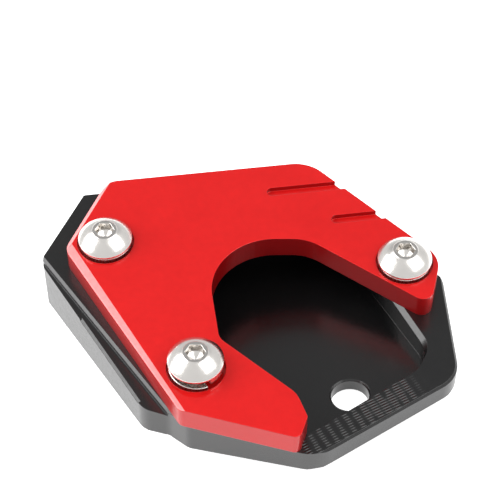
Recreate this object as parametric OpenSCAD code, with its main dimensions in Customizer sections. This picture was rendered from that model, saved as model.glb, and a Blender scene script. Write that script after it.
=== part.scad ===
// Foot plate for a motorcycle side stand: a black wedge-shaped base with a pocket for the stand's own foot,
// a red clamp plate with a U-shaped opening laid on it, and three button-head screws on split lock washers.
// Both plates are drawn level, with z = 0 on the clamp plate's top face, and are then tipped as one so that
// the base's underside lies flat on z = 0. +Z up, +X to the right of the photo, +Y away from the viewer.
// All sizes in mm.

/* [Clamp plate] */
// thickness of the clamp plate
clamp_t = 4.5; // [3.5:0.1:6]
// distance from the side bevel's upper line to the plate's left corner
bevel_in = 1.5; // [0.8:0.1:2.5]
// turn of the side bevel's upper line against the plate's left edge, in degrees
bevel_turn = -1.1; // [-1.5:0.1:0]
// slope of the side bevel below level, in degrees
bevel_slope = 16.7; // [8:0.1:30]
// width of the bevel on the short upper-left edge
corner_bevel = 1; // [0.4:0.1:1.6]
// depth of the washer seats
seat_depth = 1; // [0.3:0.1:1.5]
// width of the two engraved grooves
groove_w = 1.9; // [1:0.1:3]
// depth of the two engraved grooves
groove_depth = 0.9; // [0.3:0.1:1.5]
// distance between the two grooves
groove_gap = 8; // [5:0.1:10]

/* [Base] */
// height of the base between its top and bottom faces, on the layout's origin
base_h = 10.8; // [9.5:0.1:16]
// angle between the base's top and bottom faces, in degrees
wedge_angle = 6.1; // [4:0.1:6.5]
// direction in which the base gets thinner, in degrees from +X
wedge_dir = -46.8; // [-60:0.1:-35]
// thickness of the base under the pocket
floor_t = 2.9; // [2:0.1:3.5]
// width of the bevel round the bottom edge
foot_bevel = 2.5; // [0.5:0.1:3]
// depth of the ledge along the left side, below the base's top face
ledge_depth = 1.2; // [0.6:0.1:3]
// width of the bevel above the ledge, and of the one on the front part of its outer edge
ledge_bevel = 0.45; // [0.2:0.05:0.6]
// distance from the base's left corner to the start of that outer bevel
ledge_bevel_from = 14.5; // [8:0.5:25]
// width of the bevel on the outer edges of the free front part
rim_bevel = 0.4; // [0.2:0.05:0.8]
// width of the bevel on the right-hand edge of the pocket's mouth
mouth_bevel = 0.8; // [0.3:0.1:1.2]
// corner radius of the pocket at the free front part
pocket_r = 6; // [2:0.5:7]
// diameter of the bolt hole in the pocket's floor
foot_hole_d = 6.5; // [4:0.1:7]
// width of the bevel at both ends of that hole
foot_hole_bevel = 0.3; // [0.1:0.1:0.6]

/* [Screws and washers] */
// thread diameter of the screws
thread_d = 5; // [4:0.1:5.2]
// diameter of the screw heads
head_d = 9.5; // [8.5:0.1:9.5]
// height of the screw heads
head_h = 2.45; // [2.2:0.05:3.2]
// height of the upright rim at the foot of the head
head_rim = 0.35; // [0.2:0.05:0.7]
// length of the screws under the head
screw_len = 12; // [8:1:12]
// width across flats of the hexagon socket
socket_af = 3; // [2:0.1:3.2]
// depth of the hexagon socket, down to its conical bottom
socket_depth = 1.7; // [1:0.1:1.9]
// diameter of the raised crown round the socket, at its foot
crown_d = 4.5; // [4.3:0.1:5.5]
// height of that crown
crown_h = 0.12; // [0.08:0.02:0.35]
// outer diameter of the lock washers
washer_od = 9.2; // [8:0.1:9.4]
// thickness of the lock washers
washer_t = 1.2; // [0.8:0.1:1.6]
// width of the slit in the lock washers
slit_w = 0.8; // [0.4:0.1:1.5]
// height by which the front washer still stands open
front_rise = 1.7; // [0.4:0.1:2]
// height by which the left and right washers still stand open
side_rise = 0.6; // [0.1:0.1:1.6]

/* [Clearances] */
// added to the thread diameter for the holes in the clamp plate
clamp_play = 0.5; // [0.3:0.1:1]
// added to the thread diameter for the tapped holes in the base
tap_play = 0.1; // [0.05:0.05:0.2]
// added to the thread diameter for the hole in the washers
washer_play = 0.3; // [0.2:0.1:1]
// added to the washers' outer diameter for their round seats in the clamp plate
seat_play = 0.8; // [0.4:0.1:1.6]

/* [Hidden] */
$fn = 96;

black = [0.07, 0.07, 0.075];
red = [0.82, 0.05, 0.06];
steel = [0.78, 0.77, 0.75];

// screw centres in the layout
left_xy = [-25.5, 1.9];
front_xy = [-9, -25.6];
right_xy = [27, -2.7];
screws = [left_xy, front_xy, right_xy];

// directions of the slits in the washers, from +X
slit_left = 140;
slit_front = -60;
slit_right = 75;

// corners are [x, y, corner radius], anticlockwise seen from above
clamp_corners = [
    [-32.8, 0.8, 4], [-11.6, -34.1, 1.8], [8.1, -39.7, 1.2], [9.4, -35.4, 0.6],
    [7.7, -30.8, 5], [-5.2, -19.4, 3], [-8.3, 2.6, 11.2], [10.1, 2.6, 8.4],
    [31, -12.3, 1.9], [33.4, -1.7, 5.3], [10.7, 21.1, 6.6], [-26.5, 16.2, 4.3]];
base_corners = [
    [-37.3, 1.4, 2.5], [-18, -29.9, 4], [-13.6, -31.4, 4], [-10.3, -34.3, 3],
    [10.9, -40.3, 6.5], [35.5, -24.2, 6], [34.1, -2.8, 3], [9.1, 22.3, 6], [-30.6, 17, 0.6]];
pocket_corners = [
    [7.8, -37.2, 3], [31.5, -20.6, pocket_r], [14.9, 13.1, 6], [-17, 8.8, 7], [-17, -6.6, 6]];

// the line along which the ledge is set back: a point on it and its direction
ledge_at = [-36.4, 0.8];
ledge_dir = -54.8;

// the hole in the pocket's floor and the start and direction of the first groove
foot_hole_xy = [17.1, -24.6];
groove_at = [4, 13.8];
groove_dir = 7.6;
second_groove_shift = 10.5;

seam_z = -clamp_t;
bottom_z = seam_z - base_h;
thin_slope = tan(wedge_angle);
clamp_hole_d = thread_d + clamp_play;
tap_d = thread_d + tap_play;
washer_hole_d = thread_d + washer_play;
seat_d = washer_od + seat_play;
big = 200;

function xy(p) = [p.x, p.y];
function unit(v) = v / norm(v);
function cross2(a, b) = a.x * b.y - a.y * b.x;
function heading(a, b) = atan2(b.y - a.y, b.x - a.x);
function next(pts, i) = pts[(i + 1) % len(pts)];
function prev(pts, i) = pts[(i + len(pts) - 1) % len(pts)];

// height of the base's bottom face under a layout point
function under(p) = bottom_z + thin_slope * (p.x * cos(wedge_dir) + p.y * sin(wedge_dir));

// tangent length and arc centre of a corner
function half_angle(a, p, b) = acos(unit(xy(a) - xy(p)) * unit(xy(b) - xy(p))) / 2;
function tangent(a, p, b) = p.z / tan(half_angle(a, p, b));
function arc_centre(a, p, b) =
    xy(p) + unit(unit(xy(a) - xy(p)) + unit(xy(b) - xy(p))) * p.z / sin(half_angle(a, p, b));

// points along the arc that rounds a corner, one every 5 degrees or less
function arc_points(a, p, b) =
    let (c = arc_centre(a, p, b),
         from = xy(p) + unit(xy(a) - xy(p)) * tangent(a, p, b) - c,
         to = xy(p) + unit(xy(b) - xy(p)) * tangent(a, p, b) - c,
         first = atan2(from.y, from.x),
         sweep = atan2(cross2(from, to), from * to),
         steps = ceil(abs(sweep) / 5))
    [for (k = [0 : steps]) c + p.z * [cos(first + sweep * k / steps), sin(first + sweep * k / steps)]];

// an outline with every corner rounded by its own radius
function outline(pts) =
    [for (i = [0 : len(pts) - 1]) each arc_points(prev(pts, i), pts[i], next(pts, i))];

// everything above a plane that holds the level line through p and falls away to that line's right;
// it starts the length before p and ends the length after p
module shave(p, dir, slope, before = big / 2, after = big / 2) {
    translate(p)
        rotate([slope, 0, dir])
            translate([-before, -big / 2, 0])
                cube([before + after, big / 2, big / 8]);
}

// a bevel of equal width and depth on a straight top edge from a to b, at height z
module edge_bevel(a, b, z, w, before = big / 2, after = big / 2) {
    dir = heading(a, b);
    shave([a.x - w * sin(dir), a.y + w * cos(dir), z], dir, 45, before, after);
}

// the same bevel carried round the arc at corner p
module arc_bevel(a, p, b, z, w) {
    arc = arc_points(a, p, b);
    for (k = [1 : len(arc) - 1])
        edge_bevel(arc[k - 1], arc[k], z, w);
}

// a bevel of foot_bevel on the bottom edge from a to b, which climbs with the wedge
module foot_cut(a, b, before = big / 2, after = big / 2) {
    flat = norm(xy(b) - xy(a));
    rise = under(b) - under(a);
    translate([a.x, a.y, under(a) + foot_bevel / cos(wedge_angle)])
        rotate([-45, -atan2(rise, flat), heading(a, b)])
            translate([-before, -big / 8, -big / 8])
                cube([before + flat + after, big / 4, big / 8]);
}

// the same across the middle of the arc at corner p
module foot_arc_cut(a, p, b) {
    c = arc_centre(a, p, b);
    out = unit(xy(p) - c);
    m = c + out * p.z;
    along = [-out.y, out.x];
    foot_cut(m, m + along);
}

// lays the level layout down on the base's bottom face
module seated() {
    translate([centre_x, centre_y, -bottom_z * cos(wedge_angle)])
        rotate([0, 0, wedge_dir])
            rotate([0, wedge_angle, 0])
                rotate([0, 0, -wedge_dir])
                    children();
}

// moves the middle of the whole part's footprint to x = y = 0
centre_x = 1.625;
centre_y = 8.141;

// all space above the bottom face raised by h
module above_bottom(h) {
    translate([0, 0, bottom_z + h / cos(wedge_angle)])
        rotate([0, 0, wedge_dir])
            rotate([0, -wedge_angle, 0])
                translate([-big / 2, -big / 2, 0])
                    cube([big, big, big / 4]);
}

module at_screw(p, z) {
    translate([p.x, p.y, z])
        children();
}

// layout point p at height h above the bottom face, square to that face
module square_to_ground(p, h) {
    translate([p.x, p.y, under(p) + h / cos(wedge_angle)])
        rotate([0, 0, wedge_dir])
            rotate([0, -wedge_angle, 0])
                children();
}

// pocket with upright walls, its floor level with the ground, its mouth bevelled on the right
module pocket() {
    intersection() {
        translate([0, 0, seam_z - big / 4])
            linear_extrude(big / 4 + 1)
                polygon(outline(pocket_corners));
        above_bottom(floor_t);
    }
    a = pocket_corners[1];
    b = pocket_corners[2];
    dir = heading(a, b);
    t = tangent(pocket_corners[0], a, b);
    run = norm(xy(b) - xy(a)) - t - tangent(a, b, pocket_corners[3]);
    start = xy(a) + [cos(dir), sin(dir)] * t;
    // the bevel leans outwards from the wall and runs out in the corner as a slanted round cut
    shave([start.x, start.y, seam_z - mouth_bevel], dir, -45, 0, run);
    translate([start.x, start.y, seam_z - mouth_bevel])
        rotate([0, 45, dir - 90])
            translate([-pocket_r, 0, -1.5])
                cylinder(r = pocket_r, h = big / 25);
}

module base_plate() {
    color(black) seated() difference() {
        intersection() {
            translate([0, 0, seam_z - big / 4])
                linear_extrude(big / 4)
                    polygon(outline(base_corners));
            above_bottom(0);
        }
        pocket();
        ledge();
        // bevel on the outer top edge of the free front part
        for (i = [4, 5])
            edge_bevel(base_corners[i], base_corners[i + 1], seam_z, rim_bevel);
        arc_bevel(base_corners[4], base_corners[5], base_corners[6], seam_z, rim_bevel);
        // bevel round the bottom; the two short edges beside the inward corner stop at that corner
        for (i = [0, 3, 4, 5, 6, 7, 8])
            foot_cut(base_corners[i], next(base_corners, i));
        foot_cut(base_corners[1], base_corners[2], 6, 0.5);
        foot_cut(base_corners[2], base_corners[3], 0.5, 6);
        for (i = [0, 1, 3, 4, 5, 6, 7])
            foot_arc_cut(prev(base_corners, i), base_corners[i], next(base_corners, i));
        translate([foot_hole_xy.x, foot_hole_xy.y, seam_z - big / 8])
            cylinder(d = foot_hole_d, h = big / 8);
        square_to_ground(foot_hole_xy, floor_t - foot_hole_bevel)
            cylinder(d1 = foot_hole_d, d2 = foot_hole_d + 2 * (foot_hole_bevel + 1), h = foot_hole_bevel + 1);
        square_to_ground(foot_hole_xy, -1)
            cylinder(d1 = foot_hole_d + 2 * (foot_hole_bevel + 1), d2 = foot_hole_d, h = foot_hole_bevel + 1);
        for (p = screws)
            at_screw(p, seam_z - big / 8)
                cylinder(d = tap_d, h = big / 4);
    }
}

// the step cut along the left side, with a bevel on the edge above it and on the front part of its outer edge
module ledge() {
    corner = base_corners[0];
    front = base_corners[1];
    translate([ledge_at.x, ledge_at.y, seam_z - ledge_depth])
        rotate([0, 0, ledge_dir])
            translate([-big / 4, -big / 4, 0])
                cube([big / 2, big / 4, big / 8]);
    // the bevel above the ledge ends on the step's upright side
    intersection() {
        shave([ledge_at.x - ledge_bevel * sin(ledge_dir), ledge_at.y + ledge_bevel * cos(ledge_dir), seam_z],
              ledge_dir, 45);
        translate([-big / 2, -big / 2, seam_z - ledge_bevel])
            cube([big, big, big / 8]);
    }
    length = norm(xy(front) - xy(corner)) - tangent(corner, front, base_corners[2]);
    edge_bevel(corner, front, seam_z - ledge_depth, ledge_bevel, -ledge_bevel_from, length);
}

// a round-ended groove that runs out over the plate's right-hand edge
module groove(shift, across) {
    translate([groove_at.x, groove_at.y, -groove_depth])
        rotate([0, 0, groove_dir])
            translate([shift, -across, 0]) {
                cylinder(d = groove_w, h = 2 * groove_depth);
                translate([0, -groove_w / 2, 0])
                    cube([big / 8, groove_w, 2 * groove_depth]);
            }
}

module clamp_plate() {
    corner = clamp_corners[0];
    left_dir = heading(corner, clamp_corners[1]);
    color(red) seated() difference() {
        translate([0, 0, -clamp_t])
            linear_extrude(clamp_t)
                polygon(outline(clamp_corners));
        // long shallow bevel that gets narrower towards the front, and the short one beside it
        shave([corner.x - bevel_in * sin(left_dir), corner.y + bevel_in * cos(left_dir), 0],
              left_dir + bevel_turn, bevel_slope);
        edge_bevel(clamp_corners[11], corner, 0, corner_bevel);
        groove(0, 0);
        groove(second_groove_shift, groove_gap);
        for (p = screws) {
            at_screw(p, -clamp_t - 1)
                cylinder(d = clamp_hole_d, h = clamp_t + 2);
            at_screw(p, -seat_depth)
                cylinder(d = seat_d, h = 2 * seat_depth);
        }
    }
}

// split lock washer that climbs clockwise by rise once round, from one side of the slit at angle cut to the other
module split_washer(cut, rise) {
    steps = 72;
    half_slit = asin(slit_w / (washer_od + washer_hole_d));
    points = [for (i = [0 : steps])
        let (a = cut + half_slit + (360 - 2 * half_slit) * i / steps, z = rise * (1 - i / steps))
            for (q = [[washer_hole_d, 0], [washer_od, 0], [washer_od, washer_t], [washer_hole_d, washer_t]])
                [q.x / 2 * cos(a), q.x / 2 * sin(a), z + q.y]];
    sides = [for (i = [0 : steps - 1]) for (k = [0 : 3])
        [4 * i + k, 4 * i + (k + 1) % 4, 4 * i + 4 + (k + 1) % 4, 4 * i + 4 + k]];
    ends = [[3, 2, 1, 0], [4 * steps, 4 * steps + 1, 4 * steps + 2, 4 * steps + 3]];
    polyhedron(points, concat(sides, ends), convexity = 4);
}

// button-head screw with its bearing face at z = 0
module screw() {
    reach = head_d / 2;
    crown_r = crown_d / 2;
    dome_h = head_h - crown_h;
    rise = dome_h - head_rim;
    // ball that passes through the top of the rim and the foot of the crown
    down = (reach * reach - crown_r * crown_r - rise * rise) / (2 * rise);
    ball_r = sqrt(reach * reach + down * down);
    blunt_r = socket_af / 20;
    drill_h = (socket_af / 2 - blunt_r) / tan(60);
    difference() {
        union() {
            cylinder(d = head_d, h = head_rim);
            intersection() {
                translate([0, 0, head_rim - down])
                    sphere(r = ball_r);
                translate([0, 0, head_rim])
                    cylinder(d = head_d, h = rise);
            }
            translate([0, 0, dome_h])
                cylinder(r1 = crown_r, r2 = crown_r - crown_h, h = crown_h);
            translate([0, 0, -screw_len])
                cylinder(d = thread_d, h = screw_len + head_rim);
        }
        translate([0, 0, head_h - socket_depth])
            linear_extrude(socket_depth + 1)
                circle(d = socket_af / cos(30), $fn = 6);
        // the drill point under the socket, with its small blunt end
        translate([0, 0, head_h - socket_depth - drill_h])
            cylinder(r1 = blunt_r, r2 = blunt_r + drill_h * tan(60), h = drill_h);
    }
}

washer_z = -seat_depth;
low_end_z = washer_z + washer_t;

module washer_left() {
    color(steel) seated() at_screw(left_xy, washer_z) split_washer(slit_left, side_rise);
}

module washer_front() {
    color(steel) seated() at_screw(front_xy, washer_z) split_washer(slit_front, front_rise);
}

module washer_right() {
    color(steel) seated() at_screw(right_xy, washer_z) split_washer(slit_right, side_rise);
}

module screw_left() {
    color(steel) seated() at_screw(left_xy, low_end_z + side_rise) screw();
}

module screw_front() {
    color(steel) seated() at_screw(front_xy, low_end_z + front_rise) screw();
}

module screw_right() {
    color(steel) seated() at_screw(right_xy, low_end_z + side_rise) screw();
}

base_plate();
clamp_plate();
washer_left();
washer_front();
washer_right();
screw_left();
screw_front();
screw_right();
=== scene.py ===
import math

import bmesh
import bpy
from mathutils import Matrix, Vector

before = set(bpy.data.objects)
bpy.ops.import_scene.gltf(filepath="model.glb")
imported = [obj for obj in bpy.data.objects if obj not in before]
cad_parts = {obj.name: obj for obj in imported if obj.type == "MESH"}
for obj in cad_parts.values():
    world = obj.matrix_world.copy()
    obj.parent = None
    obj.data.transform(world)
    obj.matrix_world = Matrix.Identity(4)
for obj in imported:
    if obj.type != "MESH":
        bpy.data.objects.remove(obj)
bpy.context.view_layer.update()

# Place of the part. As in the part's own source, the plates are laid out level, with z = 0 on
# top of the clamp plate, and then tipped onto the wedge's underside. Lengths are in mm.
MM = 0.001
WEDGE_ANGLE = math.radians(6.1)
WEDGE_DIR = math.radians(-46.8)
CLAMP_H = 4.5
BASE_H = 10.8
DROP = (CLAMP_H + BASE_H) * math.cos(WEDGE_ANGLE)
SHIFT = (1.625, 8.141)  # brings the middle of the footprint to the origin
TIP = (Matrix.Rotation(WEDGE_DIR, 4, "Z") @ Matrix.Rotation(WEDGE_ANGLE, 4, "Y")
       @ Matrix.Rotation(-WEDGE_DIR, 4, "Z"))
SEAT = Matrix.Translation(Vector((*SHIFT, DROP)) * MM) @ TIP


def layout(x, y, z):
    """A point of the level layout, in mm, as a world point in metres."""
    return SEAT @ (Vector((x, y, z)) * MM)


def tipped(x, y, z):
    """A direction of the level layout as a world direction."""
    return TIP.to_3x3() @ Vector((x, y, z))


def pose(x_axis, y_axis, z_axis, point):
    """A world matrix from three axes and a point."""
    matrix = Matrix((x_axis, y_axis, z_axis)).transposed().to_4x4()
    matrix.translation = point
    return matrix


def add_object(name, data, matrix=Matrix()):
    obj = bpy.data.objects.new(name, data)
    obj.matrix_world = matrix
    bpy.context.collection.objects.link(obj)
    return obj


# Node trees
BEVEL_SAMPLES = 8


class Nodes:
    """Short names for building a node tree."""

    def __init__(self, owner, coordinates):
        owner.use_nodes = True
        self.tree = owner.node_tree
        self.coord = self.node("ShaderNodeTexCoord", {}, coordinates)

    def put(self, value, socket):
        """Link another node's output to a socket, or set a plain value on it."""
        if isinstance(value, bpy.types.NodeSocket):
            self.tree.links.new(value, socket)
        else:
            socket.default_value = value

    def node(self, kind, inputs, output, **settings):
        """Add a node, fill its inputs, and return one of its outputs."""
        node = self.tree.nodes.new(kind)
        for key, value in settings.items():
            setattr(node, key, value)
        for key, value in inputs.items():
            self.put(value, node.inputs[key])
        return node.outputs[output]

    def noise(self, scale, detail, rough):
        return self.node("ShaderNodeTexNoise", {
            "Vector": self.coord, "Scale": scale, "Detail": detail, "Roughness": rough}, "Fac")

    def ramp(self, fac, stops):
        """A colour ramp through stops of a place and a linear colour."""
        node = self.tree.nodes.new("ShaderNodeValToRGB")
        points = node.color_ramp.elements
        while len(points) < len(stops):
            points.new(0.5)
        for point, (place, colour) in zip(points, stops):
            point.position = place
            point.color = (*colour, 1)
        self.put(fac, node.inputs["Fac"])
        return node.outputs["Color"]

    def range(self, value, source, target):
        """A value taken from one span to another, and held at its ends."""
        return self.node("ShaderNodeMapRange", {
            "Value": value, "From Min": source[0], "From Max": source[1],
            "To Min": target[0], "To Max": target[1]}, "Result")

    def window(self, value, fade_in, fade_out):
        """1 between two limits and 0 outside, with a fade over the span at each limit."""
        return self.math("MULTIPLY", self.range(value, fade_in, (0, 1)),
                         self.range(value, fade_out, (1, 0)))

    def bump(self, height, strength, distance, normal):
        """A normal roughened by a height, its distance in mm."""
        return self.node("ShaderNodeBump", {
            "Height": height, "Strength": strength, "Distance": distance * MM,
            "Normal": normal}, "Normal")

    def edges(self, width):
        """The surface's own normal with sharp edges broken over a width in mm."""
        return self.node("ShaderNodeBevel", {"Radius": width * MM}, "Normal",
                         samples=BEVEL_SAMPLES)

    def math(self, operation, *values):
        return self.node("ShaderNodeMath", dict(enumerate(values)), 0, operation=operation)

    def vector_math(self, operation, inputs, output="Vector"):
        return self.node("ShaderNodeVectorMath", inputs, output, operation=operation)

    def mix(self, blend, factor, a, b):
        return self.node("ShaderNodeMix", {0: factor, 6: a, 7: b}, 2,
                         data_type="RGBA", blend_type=blend)

    def in_layout(self):
        """The surface point in the level layout, in mm."""
        return self.node("ShaderNodeMapping", {
            "Vector": self.coord, "Location": SEAT.to_translation(),
            "Rotation": SEAT.to_euler(), "Scale": (MM, MM, MM)}, "Vector",
            vector_type="TEXTURE")

    def separate(self, vector, axis):
        return self.node("ShaderNodeSeparateXYZ", {0: vector}, axis)

    def upward(self):
        """1 on the plates' level faces, 0 on their upright sides, in between on bevels."""
        normal = self.node("ShaderNodeNewGeometry", {}, "Normal")
        return self.vector_math("DOT_PRODUCT", {0: normal, 1: tipped(0, 0, 1)}, "Value")

    def across(self, place, direction, start=(0, 0)):
        """Distance from start along a direction in the layout, in mm."""
        turn = math.radians(direction)
        x = self.math("SUBTRACT", self.separate(place, "X"), start[0])
        y = self.math("SUBTRACT", self.separate(place, "Y"), start[1])
        return self.math("ADD", self.math("MULTIPLY", x, math.cos(turn)),
                         self.math("MULTIPLY", y, math.sin(turn)))

    def waves(self, place, direction, pitch):
        """-1 to 1 waves whose crests run along a direction of the layout."""
        aside = self.across(place, direction + 90)
        return self.math("SINE", self.math("MULTIPLY", aside, 2 * math.pi / pitch))

    def tilt(self, normal, direction, slope):
        """A normal leaned by a slope along a direction of the layout."""
        turn = math.radians(direction)
        towards = tipped(math.cos(turn), math.sin(turn), 0)
        lean = self.vector_math("SCALE", {0: towards, "Scale": slope})
        return self.vector_math("NORMALIZE", {0: self.vector_math("ADD", {0: normal, 1: lean})})


class Material(Nodes):
    """A node tree that belongs to a material with one surface shader."""

    def __init__(self, name):
        self.material = bpy.data.materials.new(name)
        super().__init__(self.material, "Object")

    def surface(self, inputs):
        """Fill inputs of the surface shader, and return the material."""
        shader = self.tree.nodes["Principled BSDF"]
        for key, value in inputs.items():
            self.put(value, shader.inputs[key])
        return self.material


# Stops of the colour ramps: a place and a linear colour
BLACK = (0, 0, 0)
WHITE = (1, 1, 1)
RED_DYE = ((0.3, (0.76, 0.0088, 0.0090)), (0.7, (0.815, 0.0112, 0.0112)))
RED_PATCHES = ((0.35, (0.95, 0.94, 0.94)), (0.65, WHITE))
# painted shade: darkens the upright sides of the red plate
RED_SIDES_PAINTED_SHADE = ((0.3, (0.50, 0.42, 0.55)), (0.5, WHITE))
# painted highlight: a paler pink on the bevel faces, and the mask that picks those faces
RED_BEVEL_HIGHLIGHT = ((0.3, (0.86, 0.20, 0.20)), (0.7, (0.92, 0.25, 0.25)))
BEVEL_HIGHLIGHT_MASK = ((0.50, BLACK), (0.60, WHITE), (0.97, WHITE), (0.985, BLACK))
BLACK_DYE = ((0.3, (0.0040, 0.0040, 0.0043)), (0.7, (0.0060, 0.0060, 0.0062)))
FLOOR_TONES = ((0.3, (0.84, 0.84, 0.84)), (0.7, (0.86, 0.86, 0.86)))
ROOM_TONES = ((0.0, (0.82, 0.82, 0.82)), (0.72, (0.82, 0.82, 0.82)),
              (0.90, (0.48, 0.48, 0.48)), (1.0, (0.42, 0.42, 0.42)))
STEEL_CLOUD = (0.3, 0.7)
STEEL_LIGHTER = 1.05
STEEL_SCUFFING = 0.10

# Spans of the noises, each from its usual lowest to its usual highest value
PATCH_SPAN = (0.3, 0.7)
SCUFF_SPAN = (0.35, 0.75)
UNEVEN_SPAN = (0.40, 0.60)

# End-mill marks on the free front right rim, in the level layout: mm and degrees. Each fade
# is a pair of spans, one where the marks come in and one where they go out.
RIDGE_DIR = 27.9
RIDGE_PITCH = 0.50
BAND_DIR = -61.9
BAND_PITCH = 1.75
BAND_SLOPE = 0.42
UNEVEN_SLOPE = 0.34
RIM_DIR = 33.2
RIM_START = (9.0, -41.5)
RIM_FADE_ALONG = ((0.0, 1.5), (22.0, 27.5))
RIM_FADE_ASIDE = ((0.2, 0.5), (8.0, 8.5))
RIM_FADE_UP = (-4.65, -4.55)


def red_anodised():
    """Matt red anodised aluminium: blasted grain, cloudy dyed red, with painted shade on the
    upright sides and a painted highlight on the bevels.
    """
    n = Material("red_anodised")
    cloud = n.noise(scale=110, detail=4, rough=0.6)
    patch = n.noise(scale=900, detail=3, rough=0.6)
    grain = n.noise(scale=6000, detail=2, rough=0.6)
    dye_and_painted_light = n.mix("MULTIPLY", 0.6, n.ramp(cloud, RED_DYE), n.ramp(patch, RED_PATCHES))
    # painted shade: the milled upright sides are coloured darker than the blasted top, by which
    # way each face points
    upward = n.upward()
    dye_and_painted_light = n.mix("MULTIPLY", 1.0, dye_and_painted_light, n.ramp(upward, RED_SIDES_PAINTED_SHADE))
    # painted highlight: the bevel faces, picked by which way they point, get a paler pink
    # colour
    dye_and_painted_light = n.mix("MIX", n.ramp(upward, BEVEL_HIGHLIGHT_MASK), dye_and_painted_light, n.ramp(patch, RED_BEVEL_HIGHLIGHT))
    edges = n.edges(width=0.22)
    return n.surface({
        "Base Color": dye_and_painted_light,
        "Roughness": n.range(patch, PATCH_SPAN, (0.44, 0.52)),
        "Metallic": 0.5,
        "Specular IOR Level": 0.2,
        "Specular Tint": (1, 0.25, 0.25, 1),
        "Normal": n.bump(grain, strength=0.08, distance=0.03, normal=edges),
        "Coat Weight": 0.7,
        "Coat IOR": 1.5,
        "Coat Roughness": 0.15,
        "Coat Normal": n.bump(patch, strength=0.04, distance=0.06, normal=edges),
    })


def black_anodised():
    """Black anodised aluminium: fine grain, and end-mill marks on the free front rim."""
    n = Material("black_anodised")
    cloud = n.noise(scale=80, detail=4, rough=0.6)
    patch = n.noise(scale=1100, detail=3, rough=0.6)
    grain = n.noise(scale=6000, detail=2, rough=0.6)
    # fine cutter lines, in bands of uneven depth
    place = n.in_layout()
    lines = n.waves(place, RIDGE_DIR, RIDGE_PITCH)
    bands = n.math("MULTIPLY_ADD", n.waves(place, BAND_DIR, BAND_PITCH), 0.5, 0.5)
    uneven = n.range(n.noise(scale=220, detail=2, rough=0.5), UNEVEN_SPAN, (0.1, 0.9))
    depth = n.math("MULTIPLY_ADD", bands, BAND_SLOPE, n.math("MULTIPLY", uneven, UNEVEN_SLOPE))
    rim = n.math("MULTIPLY",
                 n.window(n.across(place, RIM_DIR, RIM_START), *RIM_FADE_ALONG),
                 n.window(n.across(place, RIM_DIR + 90, RIM_START), *RIM_FADE_ASIDE))
    rim = n.math("MULTIPLY", rim, n.range(n.separate(place, "Z"), RIM_FADE_UP, (0, 1)))
    slope = n.math("MULTIPLY", n.math("MULTIPLY", lines, depth), rim)
    plain = n.bump(grain, strength=0.05, distance=0.03, normal=n.edges(width=0.12))
    return n.surface({
        "Base Color": n.ramp(cloud, BLACK_DYE),
        "Roughness": n.range(patch, PATCH_SPAN, (0.20, 0.27)),
        "IOR": 1.6,
        "Normal": n.tilt(plain, RIDGE_DIR + 90, slope),
    })


def steel(name, colour, roughness, grain_scale, edge):
    """Bright steel: uneven polish, small scuffs, fine grain."""
    n = Material(name)
    cloud = n.noise(scale=500, detail=3, rough=0.6)
    scuff = n.noise(scale=3500, detail=3, rough=0.7)
    grain = n.noise(scale=grain_scale, detail=2, rough=0.5)
    lighter = tuple(c * STEEL_LIGHTER for c in colour)
    return n.surface({
        "Base Color": n.ramp(cloud, tuple(zip(STEEL_CLOUD, (colour, lighter)))),
        "Roughness": n.range(scuff, SCUFF_SPAN, (roughness, roughness + STEEL_SCUFFING)),
        "Metallic": 1.0,
        "Normal": n.bump(grain, strength=0.05, distance=0.01, normal=n.edges(edge)),
    })


plates = {
    "base_plate": black_anodised(),
    "clamp_plate": red_anodised(),
}
washer_steel = steel("washer_steel", colour=(0.66, 0.64, 0.61), roughness=0.24,
                     grain_scale=9000, edge=0.35)
screw_steel = steel("screw_steel", colour=(0.74, 0.715, 0.685), roughness=0.17,
                    grain_scale=12000, edge=0.16)
for name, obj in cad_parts.items():
    material = plates.get(name) or (
        washer_steel if name.startswith("washer") else screw_steel)
    obj.data.materials.clear()
    obj.data.materials.append(material)


# Camera, as found from the photo's perspective: it looks at the layout's origin.
CAMERA_HEIGHT = math.radians(49.83)
CAMERA_AWAY = 304.6
CAMERA_CLIP = 0.01
SENSOR = 36
FOCAL_PIXELS = 1732
PHOTO_PIXELS = 500

eye = layout(0, -CAMERA_AWAY * math.cos(CAMERA_HEIGHT), CAMERA_AWAY * math.sin(CAMERA_HEIGHT))
right = tipped(1, 0, 0).normalized()
back = (eye - layout(0, 0, 0)).normalized()
camera = add_object("camera", bpy.data.cameras.new("camera"),
                    pose(right, back.cross(right), back, eye))
camera.data.sensor_width = SENSOR
camera.data.lens = SENSOR * FOCAL_PIXELS / PHOTO_PIXELS
camera.data.clip_start = CAMERA_CLIP
bpy.context.scene.camera = camera


# Floor
FLOOR_SIZE = 3
FLOOR_GLOW = 0.8

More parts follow.
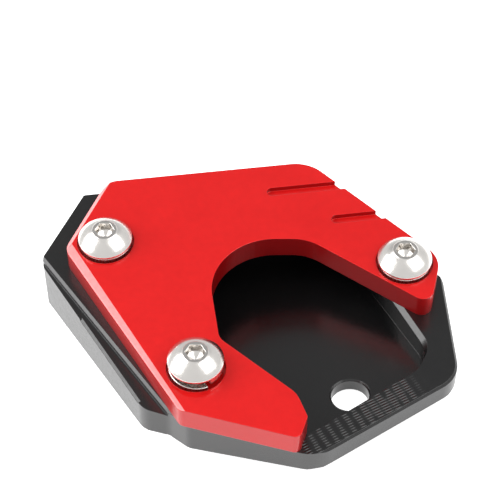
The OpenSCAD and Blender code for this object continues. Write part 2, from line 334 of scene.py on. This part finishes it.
floor_mesh = bpy.data.meshes.new("floor")
grid = bmesh.new()
bmesh.ops.create_grid(grid, x_segments=1, y_segments=1, size=FLOOR_SIZE)
grid.to_mesh(floor_mesh)
grid.free()
floor = add_object("floor", floor_mesh)
white = Material("floor_white")
tone = white.noise(scale=3, detail=2, rough=0.5)
floor_mesh.materials.append(white.surface({
    "Base Color": white.ramp(tone, FLOOR_TONES),
    "Roughness": 0.9,
    "Specular IOR Level": 0.1,
    "Emission Color": (1, 1, 1, 1),
    "Emission Strength": FLOOR_GLOW,
}))


# Light: three soft boxes, and a pale room with a dim patch that the level faces mirror
BOX_AWAY = 0.6
DIM_PATCH = (88, 50)


def direction(azimuth, height):
    """Unit vector towards an azimuth and height in degrees, both seen from the part."""
    az, el = math.radians(azimuth), math.radians(height)
    return Vector((math.cos(el) * math.cos(az), math.cos(el) * math.sin(az), math.sin(el)))


def box_light(name, azimuth, height, side, size, radiance):
    """A soft box that faces the part, its first edge along side. Its size is in metres."""
    out = direction(azimuth, height)
    side = (Vector(side) - out * out.dot(Vector(side))).normalized()
    data = bpy.data.lights.new(name, "AREA")
    data.shape = "RECTANGLE"
    data.size, data.size_y = size
    data.energy = radiance * math.pi * size[0] * size[1]
    add_object(name, data, pose(side, out.cross(side), out, out * BOX_AWAY))


box_light("left_box", azimuth=-177.3, height=38.1, side=(0.31, -0.55, 0.29),
          size=(0.485, 0.445), radiance=4.4)
box_light("right_box", azimuth=-14.8, height=46.8, side=(-0.375, -0.58, 0.11),
          size=(0.50, 0.46), radiance=2.0)
box_light("back_box", azimuth=142, height=57, side=(0, 1, 0),
          size=(0.15, 0.16), radiance=2.6)

world = bpy.data.worlds.new("studio")
room = Nodes(world, "Generated")
towards = room.vector_math("DOT_PRODUCT", {0: room.coord, 1: direction(*DIM_PATCH)}, "Value")
background = room.tree.nodes["Background"]
room.put(room.ramp(towards, ROOM_TONES), background.inputs["Color"])
background.inputs["Strength"].default_value = 1.0
bpy.context.scene.world = world
bpy.context.scene.view_settings.view_transform = "Standard"
